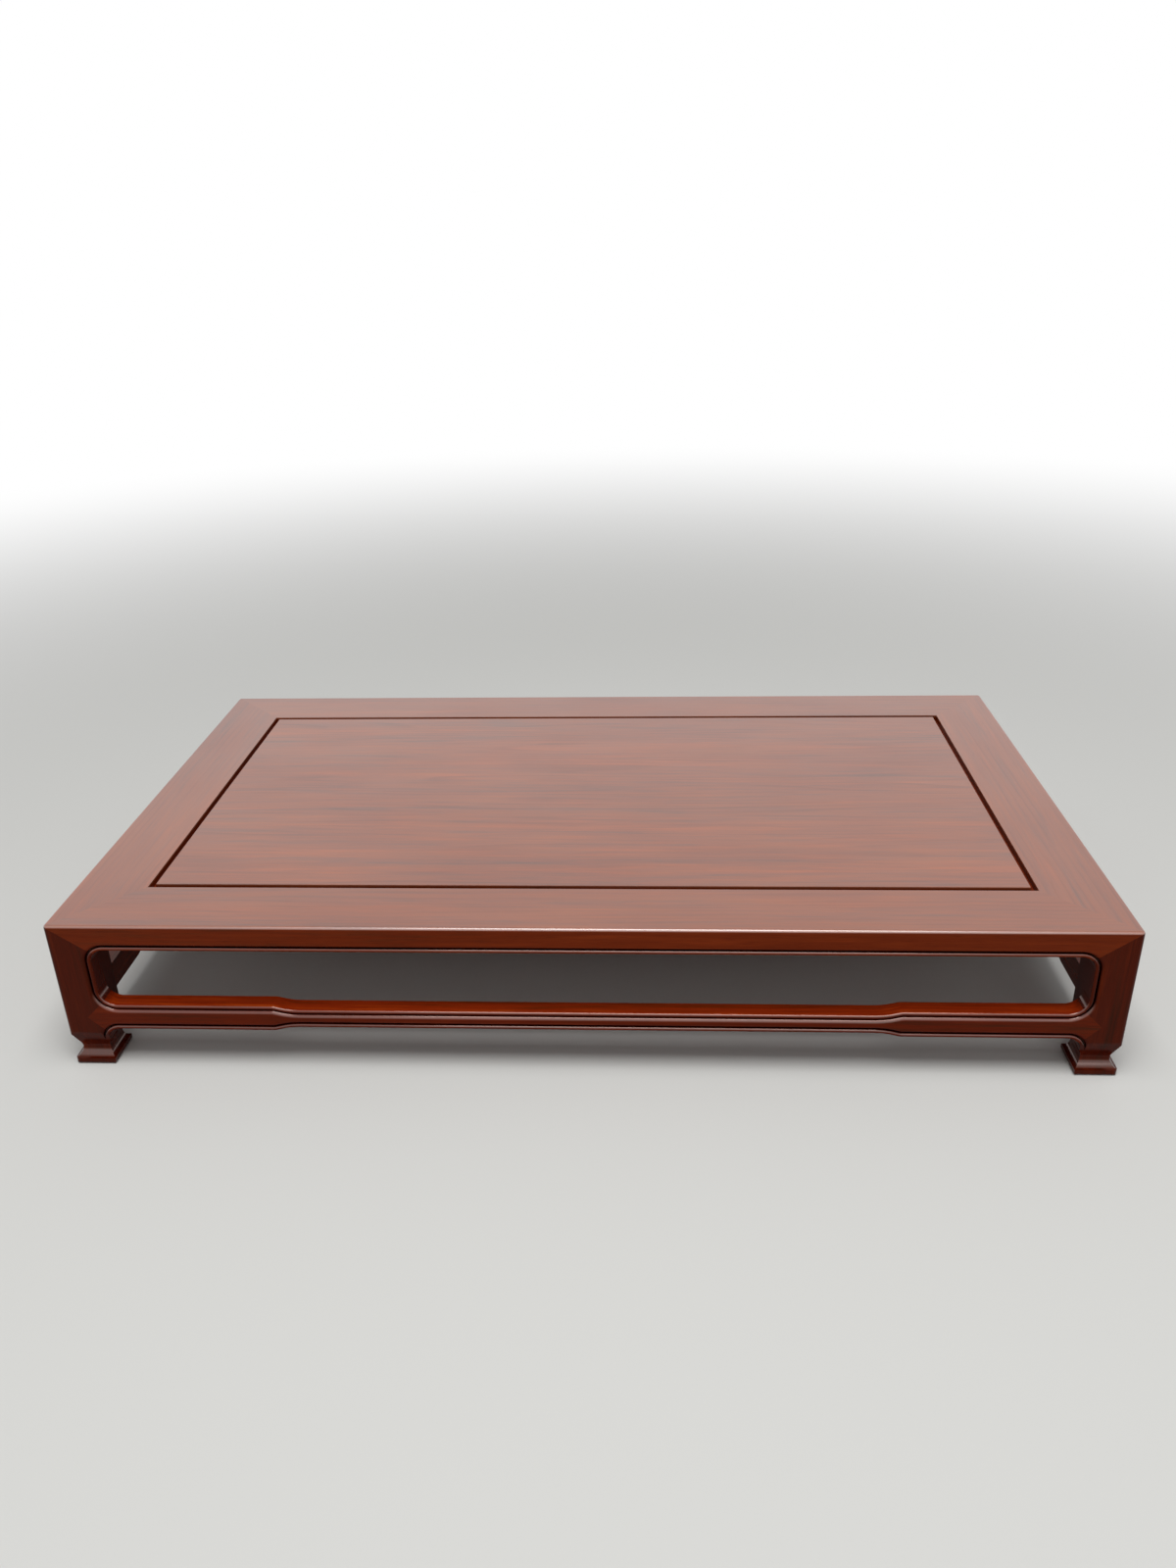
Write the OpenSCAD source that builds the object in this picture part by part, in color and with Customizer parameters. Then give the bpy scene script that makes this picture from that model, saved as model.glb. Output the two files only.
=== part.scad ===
// Low display table of lacquered hardwood.
// The top is a mitred frame round a floating panel. Each corner is a three-way mitre of two frame
// rails and a leg, and low stretchers with pointed, mitred shoulders tie the legs together.
// Millimetres, +Z up, front face at -Y, origin on the floor under the middle of the table.

/* [Overall] */
// Width of the table, left to right
table_w = 600; // [460:5:900]
// Depth of the table, front to back
table_d = 350; // [280:5:600]
// Height of the table
table_h = 95; // [90:1:140]

/* [Top frame] */
// Width of the frame rails, seen from above
frame_w = 43.5; // [40:0.5:60]
// Thickness of the frame rails
frame_t = 16.3; // [15:0.1:20]
// Radius of the rounded top edge
edge_round = 1.8; // [1:0.1:2.4]
// Radius of the rounded vertical corners
corner_round = 2.6; // [2.5:0.1:5]

/* [Panel] */
// Thickness of the floating panel
panel_t = 8.5; // [7.5:0.1:10]
// Width of the open groove round the panel
groove_w = 3.4; // [2:0.1:6]
// Depth of the open groove round the panel
groove_depth = 4; // [3:0.1:5]
// Reach of the panel's tongue into the frame rails
tongue_reach = 5.5; // [4:0.1:7]
// Room for the panel to swell in the frame's groove
swell_gap = 1; // [0.5:0.1:2]

/* [Battens] */
// Distance of each batten from the middle of the table
batten_x = 95; // [60:1:140]
// Width of a batten
batten_w = 26; // [20:0.5:36]
// Distance of the battens' underside above the frame's underside
batten_up = 1; // [0.5:0.1:2]
// Height of the dovetail that slides into the panel
dovetail_h = 2.6; // [2:0.1:3]
// Width of the dovetail at its narrow root
dovetail_root = 11; // [8:0.5:14]
// Spread of the dovetail on each side, from root to crest
dovetail_spread = 1.5; // [0.5:0.1:2]
// Length of a batten's tenon in the frame rail
batten_tenon = 7; // [4:0.5:10]
// Width of the shoulders round a batten's tenon
batten_shoulder = 1.2; // [0.8:0.1:1.6]

/* [Legs] */
// Side of the square leg
leg_s = 22.6; // [20:0.1:26]
// Distance of the shoulder's start below the stretcher
shoulder_drop = 1.7; // [1:0.1:2]
// Radius of the shoulder's round
shoulder_r = 4; // [2:0.1:5]
// Length of the slant from the shoulder's round to the hollow over the ankle
shoulder_slant = 10; // [8:0.2:10.4]
// Radius of that hollow
ankle_hollow_r = 8; // [4:0.5:9]
// Depth that the ankle is cut in from the leg's inner faces
ankle_back = 1.8; // [1:0.1:2.5]
// Height of the soft step from the inner face to the ankle
ankle_step = 5.4; // [3:0.1:6]

/* [Feet] */
// Side of the square foot
foot_s = 24; // [23:0.1:27]
// Height at which the foot starts to flare
foot_h = 9.4; // [8:0.1:9.7]
// Height of the foot's edge
foot_edge = 4; // [3:0.1:5]
// Width of the narrow flat on top of the foot's edge
foot_flat = 0.2; // [0.1:0.1:0.5]
// Radius of the round under the foot's edge
foot_round = 2; // [1:0.1:2.8]

/* [Stretchers] */
// Height of the stretchers' underside above the floor
stretcher_z = 25.1; // [24.9:0.1:32]
// Height of a stretcher at its ends
stretcher_h = 16.4; // [15.6:0.1:20]
// Thickness of a stretcher, front to back
stretcher_t = 11; // [9:0.1:13]
// Reach of the pointed shoulder into the leg
point_reach = 8.9; // [6:0.1:10]

/* [Waist] */
// Step from the full height to the waist, above and below
waist_step = 2.4; // [1.5:0.1:2.8]
// Length of the curve from full height to waist
waist_run = 15.8; // [12:0.2:20]
// Radius of the round at the start of that curve
waist_round_r = 9; // [7:0.5:12]
// Length of the straight slant between the curve's round and its hollow
waist_slant = 1; // [1:0.5:4]
// Distance from a leg to the start of the waist, front and back
long_waist_at = 99; // [60:1:140]
// Distance from a leg to the start of the waist, at the sides
short_waist_at = 54; // [30:1:70]

/* [Moulding] */
// Radius of the bead
bead_r = 1.2; // [0.9:0.05:1.4]
// Depth of the bead's crest behind the face
bead_set = 0.4; // [0.2:0.05:0.6]
// Width of the narrow sunk line beside the bead
quirk_w = 0.6; // [0.4:0.05:1]
// Depth of the narrow sunk line
quirk_d = 2.5; // [2.45:0.05:2.8]
// Radius of the face's rounded edge beside the sunk line
ease_r = 2.4; // [1:0.05:2.4]
// Radius of the upper corners of the openings
upper_corner_r = 8.5; // [6:0.1:10]
// Radius of the lower corners of the openings
lower_corner_r = 10; // [8:0.1:12]
// Radius of the corners under the stretchers
under_corner_r = 8; // [6:0.1:9]

/* [Joints] */
// Clearance on each side of a tenon
fit = 0.1; // [0.05:0.05:0.3]
// Room at the end of a tenon
tenon_end_gap = 0.5; // [0.3:0.1:1]
// Thickness of the stretchers' tenons
stretcher_tenon_t = 4; // [3:0.1:5]
// Height of the stretchers' tenons
stretcher_tenon_h = 4.6; // [3:0.1:5.5]
// Height left between the two tenons that cross in a leg
tenon_apart = 1.4; // [1:0.1:2]
// Wood left between a stretcher's tenon and the leg's far face
tenon_cover = 6; // [4:0.5:9]
// Side of a leg's head tenons along the frame rail
head_tenon_l = 6; // [4:0.1:7]
// Side of a leg's head tenons across the frame rail
head_tenon_w = 4; // [3:0.1:4.5]
// Distance of the head tenons from the leg's outer face
head_tenon_in = 4.5; // [4:0.1:5]
// Distance of the head tenons from the leg's inner face
head_tenon_back = 4; // [3:0.1:5]
// Wood left over the head tenons in the frame rail
head_cover = 5; // [4:0.1:6]
// Thickness of the tenon in a frame corner
corner_tenon_t = 5; // [4:0.1:6]
// Distance of that tenon's end from the table's end
corner_tenon_cover = 10; // [6:0.5:14]
// Wood left beside that tenon
corner_tenon_wall = 3; // [2:0.1:3.5]

/* [Hidden] */
$fn = 48;

frame_color = "#7a3524";
panel_color = "#84402f";
leg_color = "#4a1710";
stretcher_color = "#5e1c10";
batten_color = "#6b3226";

// How far a cutting shape runs past the wood that it cuts
over = 1;

half_w = table_w / 2;
half_d = table_d / 2;
frame_under = table_h - frame_t;
// Half the width between the legs, along the front and along a side
long_gap = half_w - leg_s;
short_gap = half_d - leg_s;

// Panel and the frame's groove for its tongue
panel_x = half_w - frame_w - groove_w;
panel_y = half_d - frame_w - groove_w;
panel_under = table_h - panel_t;
slot_depth = tongue_reach + swell_gap;

// Battens
batten_z = frame_under + batten_up;
batten_h = panel_under - batten_z;
batten_half_l = half_d - frame_w;

// Stretchers
stretcher_top = stretcher_z + stretcher_h;
stretcher_mid = stretcher_z + stretcher_h / 2;
long_tenon_z = stretcher_mid + tenon_apart / 2;
short_tenon_z = stretcher_mid - tenon_apart / 2 - stretcher_tenon_h;

// Curve from full height to waist: round, slant and hollow
waist_turn = 2 * atan(waist_step / (waist_run + waist_slant));
waist_hollow = (waist_run - waist_slant * cos(waist_turn)) / sin(waist_turn) - waist_round_r;
slant_s = waist_round_r * sin(waist_turn);
slant_y = waist_step - waist_round_r * (1 - cos(waist_turn));
hollow_s = slant_s + waist_slant * cos(waist_turn);
hollow_y = slant_y - waist_slant * sin(waist_turn);

// Legs, as inward distances and heights
shoulder_z = stretcher_z - shoulder_drop;
// Slope of half the turn from the leg's face to the slant
shoulder_slope = 2 / 11;
shoulder_turn = 2 * atan(shoulder_slope);
shoulder_out = shoulder_r * (1 - cos(shoulder_turn));
shoulder_fall = shoulder_r * sin(shoulder_turn);
slant_out = shoulder_out + shoulder_slant * sin(shoulder_turn);
slant_fall = shoulder_fall + shoulder_slant * cos(shoulder_turn);
ankle_in = slant_out + ankle_hollow_r * (1 - cos(shoulder_turn));
shoulder_h = slant_fall + ankle_hollow_r * sin(shoulder_turn);
ankle_top = shoulder_z - shoulder_h;
ankle_inner = leg_s - ankle_back;
inner_step_top = stretcher_z - under_corner_r;
inner_step_turn = 2 * atan(ankle_back / ankle_step);
inner_step_r = ankle_step / sin(inner_step_turn) / 2;

// Fall of the mitre line on a face, for each unit inwards
mitre_fall = frame_t / leg_s;

// Moulding, as distances from the opening's edge. The bead is cut by the edge a little, so that it
// meets the opening's wall at an arris.
bead_overhang = 0.15;
bead_u = bead_r - bead_overhang;
quirk_u = bead_u + bead_r;
ease_u = quirk_u + quirk_w;
moulding_w = ease_u + ease_r;
bead_mid = bead_set + bead_r;
// The round's centre lies a hair short of its radius, so that it meets the face at a slight arris
ease_short = 0.025;
ease_mid = ease_r - ease_short;
// How far the leg's moulding runs on below the corner under the stretcher, to where the leg's face
// has curved back past its depth
run_out = 1.2;

// Moulding

// What the moulding takes away, in section: x runs from the opening's edge into the wood, y from
// the face into the wood
module moulding_section() {
    difference() {
        translate([-over, -over]) square([over + moulding_w, over + quirk_d]);
        translate([bead_u, bead_mid]) circle(r = bead_r);
        translate([-2 * over, bead_mid]) square([2 * over + quirk_u, over + quirk_d]);
        translate([moulding_w, ease_mid]) circle(r = ease_r);
        translate([ease_u, ease_mid]) square([over + ease_r, over + quirk_d]);
    }
}

// The runs and bends below lie on a face: x along it, y into the wood, z up

// Straight run from s to s + l with the wood above its edge
module run_above(s, z, l) {
    translate([s + l, 0, z]) rotate([0, -90, 0]) linear_extrude(l) moulding_section();
}

// Straight run from s to s + l with the wood below its edge
module run_below(s, z, l) {
    translate([s, 0, z]) rotate([0, 90, 0]) linear_extrude(l) moulding_section();
}

// Upright run from z to z + l with the wood on its left
module run_left(s, z, l) {
    translate([s, 0, z + l]) rotate([0, 180, 0]) linear_extrude(l) moulding_section();
}

// Bend from angle a to angle b, anticlockwise from the face's x axis, with the wood outside it
module bend_hollow(s, z, r, a, b) {
    translate([s, 0, z]) rotate([-90, 0, 0]) rotate([0, 0, -b])
        rotate_extrude(angle = b - a) translate([r, 0]) moulding_section();
}

// The same bend with the wood inside it
module bend_round(s, z, r, a, b) {
    translate([s, 0, z]) rotate([-90, 0, 0]) rotate([0, 0, -b])
        rotate_extrude(angle = b - a) translate([r, 0]) mirror([1, 0]) moulding_section();
}

// Bend of an opening's upper left corner
module upper_corner_moulding(gap) {
    bend_hollow(-gap + upper_corner_r, frame_under - upper_corner_r, upper_corner_r, 90, 180);
}

// Bend of an opening's lower left corner
module lower_corner_moulding(gap) {
    bend_hollow(-gap + lower_corner_r, stretcher_top + lower_corner_r, lower_corner_r, 180, 270);
}

// Bend of the left corner under a stretcher
module under_corner_moulding(gap) {
    bend_hollow(-gap + under_corner_r, stretcher_z - under_corner_r, under_corner_r, 90, 180);
}

// Everything that the moulding takes from the leg at the left of an opening
module leg_moulding(gap) {
    upright_z = stretcher_top + lower_corner_r;
    upper_corner_moulding(gap);
    run_left(-gap, upright_z, frame_under - upper_corner_r - upright_z);
    lower_corner_moulding(gap);
    under_corner_moulding(gap);
    run_left(-gap, stretcher_z - under_corner_r - run_out, run_out);
}

// Moulding along the curve from full height to waist, with the wood below it. The curve starts at
// the origin and falls towards +x: a round, a slant and a hollow.
module waist_curve_moulding() {
    round_reach = waist_round_r + 2 * over;
    hollow_reach = waist_hollow + moulding_w + over;
    depth = quirk_d + 4 * over;
    translate([0, 0, -waist_round_r]) {
        intersection() {
            bend_round(0, 0, waist_round_r, 0, 90);
            rotate([0, waist_turn, 0]) translate([-round_reach, -2 * over, 0])
                cube([round_reach, depth, round_reach]);
        }
        rotate([0, waist_turn, 0]) translate([0, 0, waist_round_r]) run_below(0, 0, waist_slant);
    }
    translate([waist_run, 0, waist_hollow - waist_step]) intersection() {
        bend_hollow(0, 0, waist_hollow, 180, 270);
        rotate([0, waist_turn, 0]) translate([0, -2 * over, -hollow_reach])
            cube([hollow_reach, depth, hollow_reach]);
    }
}

// Moulding along a stretcher's two edges, from its left leg to the waist
module stretcher_end_moulding(gap, waist_at) {
    // upper edge
    lower_corner_moulding(gap);
    run_below(-gap + lower_corner_r, stretcher_top, waist_at - lower_corner_r);
    translate([-gap + waist_at, 0, stretcher_top]) waist_curve_moulding();
    // lower edge
    under_corner_moulding(gap);
    run_above(-gap + under_corner_r, stretcher_z, waist_at - under_corner_r);
    translate([-gap + waist_at, 0, stretcher_z]) mirror([0, 0, 1]) waist_curve_moulding();
}

// Moulding along the waist's two edges
module waist_moulding(gap, waist_at) {
    end = -gap + waist_at + waist_run;
    run_below(end, stretcher_top - waist_step, -2 * end);
    run_above(end, stretcher_z + waist_step, -2 * end);
}

// Outlines on a face: x along it from its middle, y up from the floor

// What fills a square corner outside a round of radius r. The corner is at the origin and the
// opening runs towards +x and +y.
module corner_fill(r) {
    difference() {
        square([r, r]);
        translate([r, r]) circle(r = r);
    }
}

// Wood that a stretcher's full height adds over its waist, at the left of an opening. The waist's
// edge is y = 0 and the full height is y = waist_step.
module full_height_step(gap, waist_at) {
    translate([-gap, 0]) square([waist_at, waist_step]);
    translate([-gap + waist_at, 0]) {
        intersection() {
            square([slant_s, waist_step + over]);
            translate([0, waist_step - waist_round_r]) circle(r = waist_round_r);
        }
        polygon([[slant_s, 0], [hollow_s, 0], [hollow_s, hollow_y], [slant_s, slant_y]]);
        difference() {
            translate([hollow_s, 0]) square([waist_run - hollow_s, hollow_y]);
            translate([waist_run, waist_hollow]) circle(r = waist_hollow);
        }
    }
}

// Opening between the top and a stretcher
module upper_opening(gap, waist_at) {
    waist_z = stretcher_top - waist_step;
    difference() {
        translate([-gap, waist_z]) square([2 * gap, frame_under - waist_z]);
        for (side = [0, 1]) mirror([side, 0]) {
            translate([0, waist_z]) full_height_step(gap, waist_at);
            translate([-gap, stretcher_top]) corner_fill(lower_corner_r);
            translate([-gap, frame_under]) mirror([0, 1]) corner_fill(upper_corner_r);
        }
    }
}

// Opening under a stretcher
module lower_opening(gap, waist_at) {
    waist_z = stretcher_z + waist_step;
    difference() {
        translate([-gap, -over]) square([2 * gap, waist_z + over]);
        for (side = [0, 1]) mirror([side, 0]) {
            translate([0, waist_z]) mirror([0, 1]) full_height_step(gap, waist_at);
            translate([-gap, stretcher_z]) mirror([0, 1]) corner_fill(under_corner_r);
        }
    }
}

// Share of a face that a stretcher takes in its left leg, pointed at 45 degrees
module point_share(gap, reach) {
    tip = -gap - point_reach;
    polygon([
        [tip, stretcher_mid],
        [tip + reach, stretcher_mid - reach],
        [tip + reach, stretcher_mid + reach]
    ]);
}

// Region under the mitre line of a top corner, at the left of a face of half width half
module under_mitre(half) {
    polygon([
        [-half - over, table_h + over * mitre_fall],
        [-half + leg_s, frame_under],
        [-half + frame_w, table_h - frame_w * mitre_fall],
        [-half + frame_w, 0],
        [-half - over, 0]
    ]);
}

// Region over the same mitre line
module over_mitre(half) {
    polygon([
        [-half - over, table_h + over * mitre_fall],
        [-half + leg_s, frame_under],
        [-half + frame_w, table_h - frame_w * mitre_fall],
        [-half + frame_w, table_h + 2 * over],
        [-half - over, table_h + 2 * over]
    ]);
}

// Gives an outline on a face the depth t, from the face into the wood
module face_depth(t) {
    translate([0, t, 0]) rotate([90, 0, 0]) linear_extrude(t) children();
}

// Puts what is made on a face on the table's front
module on_front() {
    translate([0, -half_d, 0]) children();
}

// Puts what is made on a face on the table's left side, mirrored so that its left end is at the front
module on_left() {
    translate([-half_w, 0, 0]) mirror([1, -1, 0]) children();
}

// Rounded outer edges

// What the rounding of the table's upright corner takes away, at the front left
module corner_rounding() {
    translate([-half_w, -half_d, -over]) linear_extrude(table_h + 2 * over) difference() {
        translate([-over, -over]) square([corner_round + over, corner_round + over]);
        translate([corner_round, corner_round]) circle(r = corner_round);
    }
    translate([-half_w + corner_round, -half_d + corner_round, 0]) rotate([0, 0, 180])
        rotate_extrude(angle = 90) difference() {
            translate([corner_round - edge_round, table_h - edge_round])
                square([edge_round + over, edge_round + over]);
            translate([corner_round - edge_round, table_h - edge_round]) circle(r = edge_round);
        }
}

// What the rounding of a face's top edge takes away, on a face of half width half
module edge_rounding(half) {
    l = 2 * (half - corner_round);
    translate([-l / 2, 0, table_h]) rotate([90, 0, 90]) linear_extrude(l) difference() {
        translate([-over, -edge_round]) square([over + edge_round, edge_round + over]);
        translate([edge_round, -edge_round]) circle(r = edge_round);
    }
}

// Frame rails

// Small ears under a frame rail that round the opening's upper corners
module rail_ears(gap) {
    for (side = [0, 1]) mirror([side, 0, 0]) face_depth(stretcher_t)
        translate([-gap, frame_under]) mirror([0, 1]) corner_fill(upper_corner_r);
}

// Mitred blank of the front rail with its ears, without the legs' share of the corners
module rail_blank(half, depth_half, gap) {
    difference() {
        union() {
            translate([0, -depth_half, frame_under]) linear_extrude(frame_t) polygon([
                [-half, 0], [half, 0], [half - frame_w, frame_w], [-half + frame_w, frame_w]
            ]);
            translate([0, -depth_half, 0]) rail_ears(gap);
        }
        for (side = [0, 1]) mirror([side, 0, 0])
            translate([0, -depth_half - over, 0]) face_depth(frame_w + 2 * over) under_mitre(half);
    }
}

// Groove of the front rail for the panel's tongue
module panel_slot(half, depth_half) {
    slot_h = panel_t - groove_depth + fit;
    translate([-half, -depth_half + frame_w - slot_depth, panel_under])
        cube([2 * half, slot_depth + over, slot_h]);
}

// Tenon of a batten, or with a clearance its mortise, at the front end
module batten_tenon_block(clear, end_gap) {
    l = batten_tenon + end_gap;
    w = batten_w - 2 * batten_shoulder + 2 * clear;
    h = batten_h - 2 * batten_shoulder + 2 * clear;
    translate([-w / 2, -batten_half_l - l, batten_z + batten_shoulder - clear]) cube([w, l + over, h]);
}

// Head tenon of the front left leg in the long rail, or with a clearance its mortise
module head_tenon_block(clear, end_gap) {
    low = frame_under - over;
    high = table_h - head_cover + end_gap;
    translate([
        -half_w + leg_s - head_tenon_back - head_tenon_l - clear,
        -half_d + head_tenon_in - clear,
        low
    ]) cube([head_tenon_l + 2 * clear, head_tenon_w + 2 * clear, high - low]);
}

// Its twin in the short rail
module side_head_tenon_block(clear, end_gap) {
    low = frame_under - over;
    high = table_h - head_cover + end_gap;
    translate([
        -half_w + head_tenon_in - clear,
        -half_d + leg_s - head_tenon_back - head_tenon_l - clear,
        low
    ]) cube([head_tenon_w + 2 * clear, head_tenon_l + 2 * clear, high - low]);
}

// Tenon of the long rail in the front left frame corner, or with a clearance its mortise
module corner_tenon_block(clear, end_gap) {
    near = leg_s + corner_tenon_wall;
    far = frame_w - slot_depth - corner_tenon_wall;
    translate([
        -half_w + corner_tenon_cover - end_gap,
        -half_d + near - clear,
        frame_under + (frame_t - corner_tenon_t) / 2 - clear
    ]) cube([far + end_gap - corner_tenon_cover + over, far - near + 2 * clear, corner_tenon_t + 2 * clear]);
}

module front_rail() {
    color(frame_color) {
        difference() {
            rail_blank(half_w, half_d, long_gap);
            on_front() run_above(
                -long_gap + upper_corner_r, frame_under, 2 * (long_gap - upper_corner_r)
            );
            panel_slot(half_w, half_d);
            on_front() edge_rounding(half_w);
            for (side = [0, 1]) mirror([side, 0, 0]) {
                on_front() upper_corner_moulding(long_gap);
                corner_rounding();
                head_tenon_block(fit, tenon_end_gap);
                translate([batten_x, 0, 0]) batten_tenon_block(fit, tenon_end_gap);
            }
        }
        // tenons in the frame corners, cut to the mitre
        for (side = [0, 1]) mirror([side, 0, 0]) intersection() {
            corner_tenon_block(0, 0);
            translate([-half_w, -half_d, 0]) linear_extrude(table_h)
                polygon([[0, -over], [frame_w, frame_w - over], [0, frame_w]]);
        }
    }
}

module left_rail() {
    color(frame_color) difference() {
        mirror([1, -1, 0]) rail_blank(half_d, half_w, short_gap);
        on_left() run_above(
            -short_gap + upper_corner_r, frame_under, 2 * (short_gap - upper_corner_r)
        );
        mirror([1, -1, 0]) panel_slot(half_d, half_w);
        on_left() edge_rounding(half_d);
        for (side = [0, 1]) mirror([0, side, 0]) {
            on_left() upper_corner_moulding(short_gap);
            corner_rounding();
            side_head_tenon_block(fit, tenon_end_gap);
            corner_tenon_block(fit, tenon_end_gap);
        }
    }
}

module back_rail() {
    mirror([0, 1, 0]) front_rail();
}

module right_rail() {
    mirror([1, 0, 0]) left_rail();
}

// Panel and battens

// Section of the batten's dovetail, or with a clearance its housing. It stands on y = 0 and its
// foot runs on below.
module dovetail_section(clear) {
    root = dovetail_root / 2 + clear;
    crest = root + dovetail_spread;
    top = dovetail_h + clear;
    polygon([[-root, -over], [root, -over], [root, 0], [crest, top], [-crest, top], [-root, 0]]);
}

module top_panel() {
    tongue_x = panel_x + groove_w + tongue_reach;
    tongue_y = panel_y + groove_w + tongue_reach;
    tongue_t = panel_t - groove_depth;
    color(panel_color) difference() {
        union() {
            translate([-panel_x, -panel_y, panel_under]) cube([2 * panel_x, 2 * panel_y, panel_t]);
            translate([-tongue_x, -tongue_y, panel_under]) cube([2 * tongue_x, 2 * tongue_y, tongue_t]);
        }
        // housings of the battens
        for (x = [-batten_x, batten_x]) translate([x, tongue_y + over, panel_under])
            rotate([90, 0, 0]) linear_extrude(2 * (tongue_y + over)) dovetail_section(fit);
    }
}

module batten() {
    color(batten_color) {
        translate([-batten_w / 2, -batten_half_l, batten_z]) cube([batten_w, 2 * batten_half_l, batten_h]);
        translate([0, batten_half_l, panel_under])
            rotate([90, 0, 0]) linear_extrude(2 * batten_half_l) dovetail_section(0);
        for (end = [0, 1]) mirror([0, end, 0]) batten_tenon_block(0, 0);
    }
}

module left_batten() {
    translate([-batten_x, 0, 0]) batten();
}

module right_batten() {
    translate([batten_x, 0, 0]) batten();
}

// Legs

// Air over a hollow flare: h deep at y = 0, where the flare starts square to the x axis, and only
// the foot's narrow flat deep at y = l
module flare_air(h, l) {
    turn = 2 * atan((h - foot_flat) / l);
    r = l / sin(turn);
    intersection() {
        translate([-over, 0]) square([over + h, l]);
        translate([h - r, 0]) circle(r = r);
    }
}

// What the ankle's cut takes from a leg's outer side: x inwards from the face, y up
module outer_relief() {
    translate([0, shoulder_z]) {
        // round of the shoulder
        difference() {
            translate([-over, -shoulder_fall]) square([over + shoulder_out, shoulder_fall]);
            translate([shoulder_r, 0]) circle(r = shoulder_r);
        }
        // slant under the shoulder
        polygon([[-over, -shoulder_fall], [shoulder_out, -shoulder_fall], [slant_out, -slant_fall],
            [-over, -slant_fall]]);
        // hollow over the ankle
        intersection() {
            translate([-over, -shoulder_h]) square([over + ankle_in, shoulder_h - slant_fall]);
            translate([ankle_in - ankle_hollow_r, -shoulder_h]) circle(r = ankle_hollow_r);
        }
    }
    // ankle
    translate([-over, foot_h]) square([over + ankle_in, ankle_top - foot_h]);
    // flare of the foot
    translate([0, foot_h]) mirror([0, 1]) flare_air(ankle_in, foot_h - foot_edge);
    foot_relief();
}

// Round under the foot's edge
module foot_relief() {
    difference() {
        translate([-over, -over]) square([over + foot_round, over + foot_round]);
        translate([foot_round, foot_round]) circle(r = foot_round);
    }
}

// What is taken from a leg's inner side, in the same outline
module inner_relief() {
    step_mid = inner_step_top - ankle_step / 2;
    // over the ankle
    translate([leg_s, inner_step_top]) square([foot_s - leg_s + over, table_h + over - inner_step_top]);
    // soft step to the ankle, a round and then a hollow
    difference() {
        translate([leg_s - ankle_back / 2, step_mid])
            square([foot_s - leg_s + ankle_back / 2 + over, ankle_step / 2]);
        translate([leg_s - inner_step_r, inner_step_top]) circle(r = inner_step_r);
    }
    intersection() {
        translate([ankle_inner, inner_step_top - ankle_step])
            square([foot_s - ankle_inner + over, ankle_step / 2]);
        union() {
            translate([ankle_inner + inner_step_r, inner_step_top - ankle_step]) circle(r = inner_step_r);
            translate([ankle_inner + inner_step_r, inner_step_top - ankle_step])
                square([foot_s, ankle_step]);
        }
    }
    // ankle
    translate([ankle_inner, foot_h])
        square([foot_s - ankle_inner + over, inner_step_top - ankle_step - foot_h]);
    // flare of the foot and the round under its edge
    translate([foot_s, foot_h]) mirror([1, 0]) mirror([0, 1])
        flare_air(foot_s - ankle_inner, foot_h - foot_edge);
    translate([foot_s, 0]) mirror([1, 0]) foot_relief();
}

// Outline of a leg seen from the front
module leg_profile() {
    difference() {
        square([foot_s, table_h]);
        outer_relief();
        inner_relief();
    }
}

// Small ears beside a leg that round the openings' corners, on the face at its front
module leg_ears(gap) {
    face_depth(stretcher_t) {
        translate([-gap, frame_under]) mirror([0, 1]) corner_fill(upper_corner_r);
        translate([-gap, stretcher_top]) corner_fill(lower_corner_r);
    }
    // the lowest ear is cut back with the leg's face
    difference() {
        face_depth(stretcher_t) translate([-gap, stretcher_z]) mirror([0, 1]) corner_fill(under_corner_r);
        translate([-gap - over, 0, 0]) rotate([90, 0, 90])
            linear_extrude(under_corner_r + 2 * over) outer_relief();
    }
}

// Tenon of the front stretcher in its left leg, or with a clearance its mortise. Its twin at the
// side passes under it.
module stretcher_tenon_block(half, low, clear, end_gap) {
    from = -half + tenon_cover - end_gap;
    to = -half + leg_s + over;
    translate([from, (stretcher_t - stretcher_tenon_t) / 2 - clear, low - clear])
        cube([to - from, stretcher_tenon_t + 2 * clear, stretcher_tenon_h + 2 * clear]);
}

module front_left_leg() {
    reach = point_reach + lower_corner_r + over;
    color(leg_color) {
        difference() {
            union() {
                translate([-half_w, -half_d, 0]) intersection() {
                    face_depth(foot_s) leg_profile();
                    mirror([1, -1, 0]) face_depth(foot_s) leg_profile();
                }
                on_front() leg_ears(long_gap);
                on_left() leg_ears(short_gap);
            }
            corner_rounding();
            // mitres under the two frame rails
            translate([0, -half_d - over, 0]) face_depth(frame_w) over_mitre(half_w);
            mirror([1, -1, 0]) translate([0, -half_w - over, 0]) face_depth(frame_w) over_mitre(half_d);
            // front stretcher's point and tenon
            on_front() {
                translate([0, -over, 0]) face_depth(stretcher_t + over) point_share(long_gap, reach);
                stretcher_tenon_block(half_w, long_tenon_z, fit, tenon_end_gap);
                leg_moulding(long_gap);
            }
            // side stretcher's point and tenon
            on_left() {
                translate([0, -over, 0]) face_depth(stretcher_t + over) point_share(short_gap, reach);
                stretcher_tenon_block(half_d, short_tenon_z, fit, tenon_end_gap);
                leg_moulding(short_gap);
            }
        }
        // tenons in the two frame rails
        intersection() {
            union() {
                head_tenon_block(0, 0);
                side_head_tenon_block(0, 0);
            }
            translate([-half_w, -half_d, frame_under - over]) cube([leg_s, leg_s, frame_t]);
        }
    }
}

module front_right_leg() {
    mirror([1, 0, 0]) front_left_leg();
}

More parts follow.
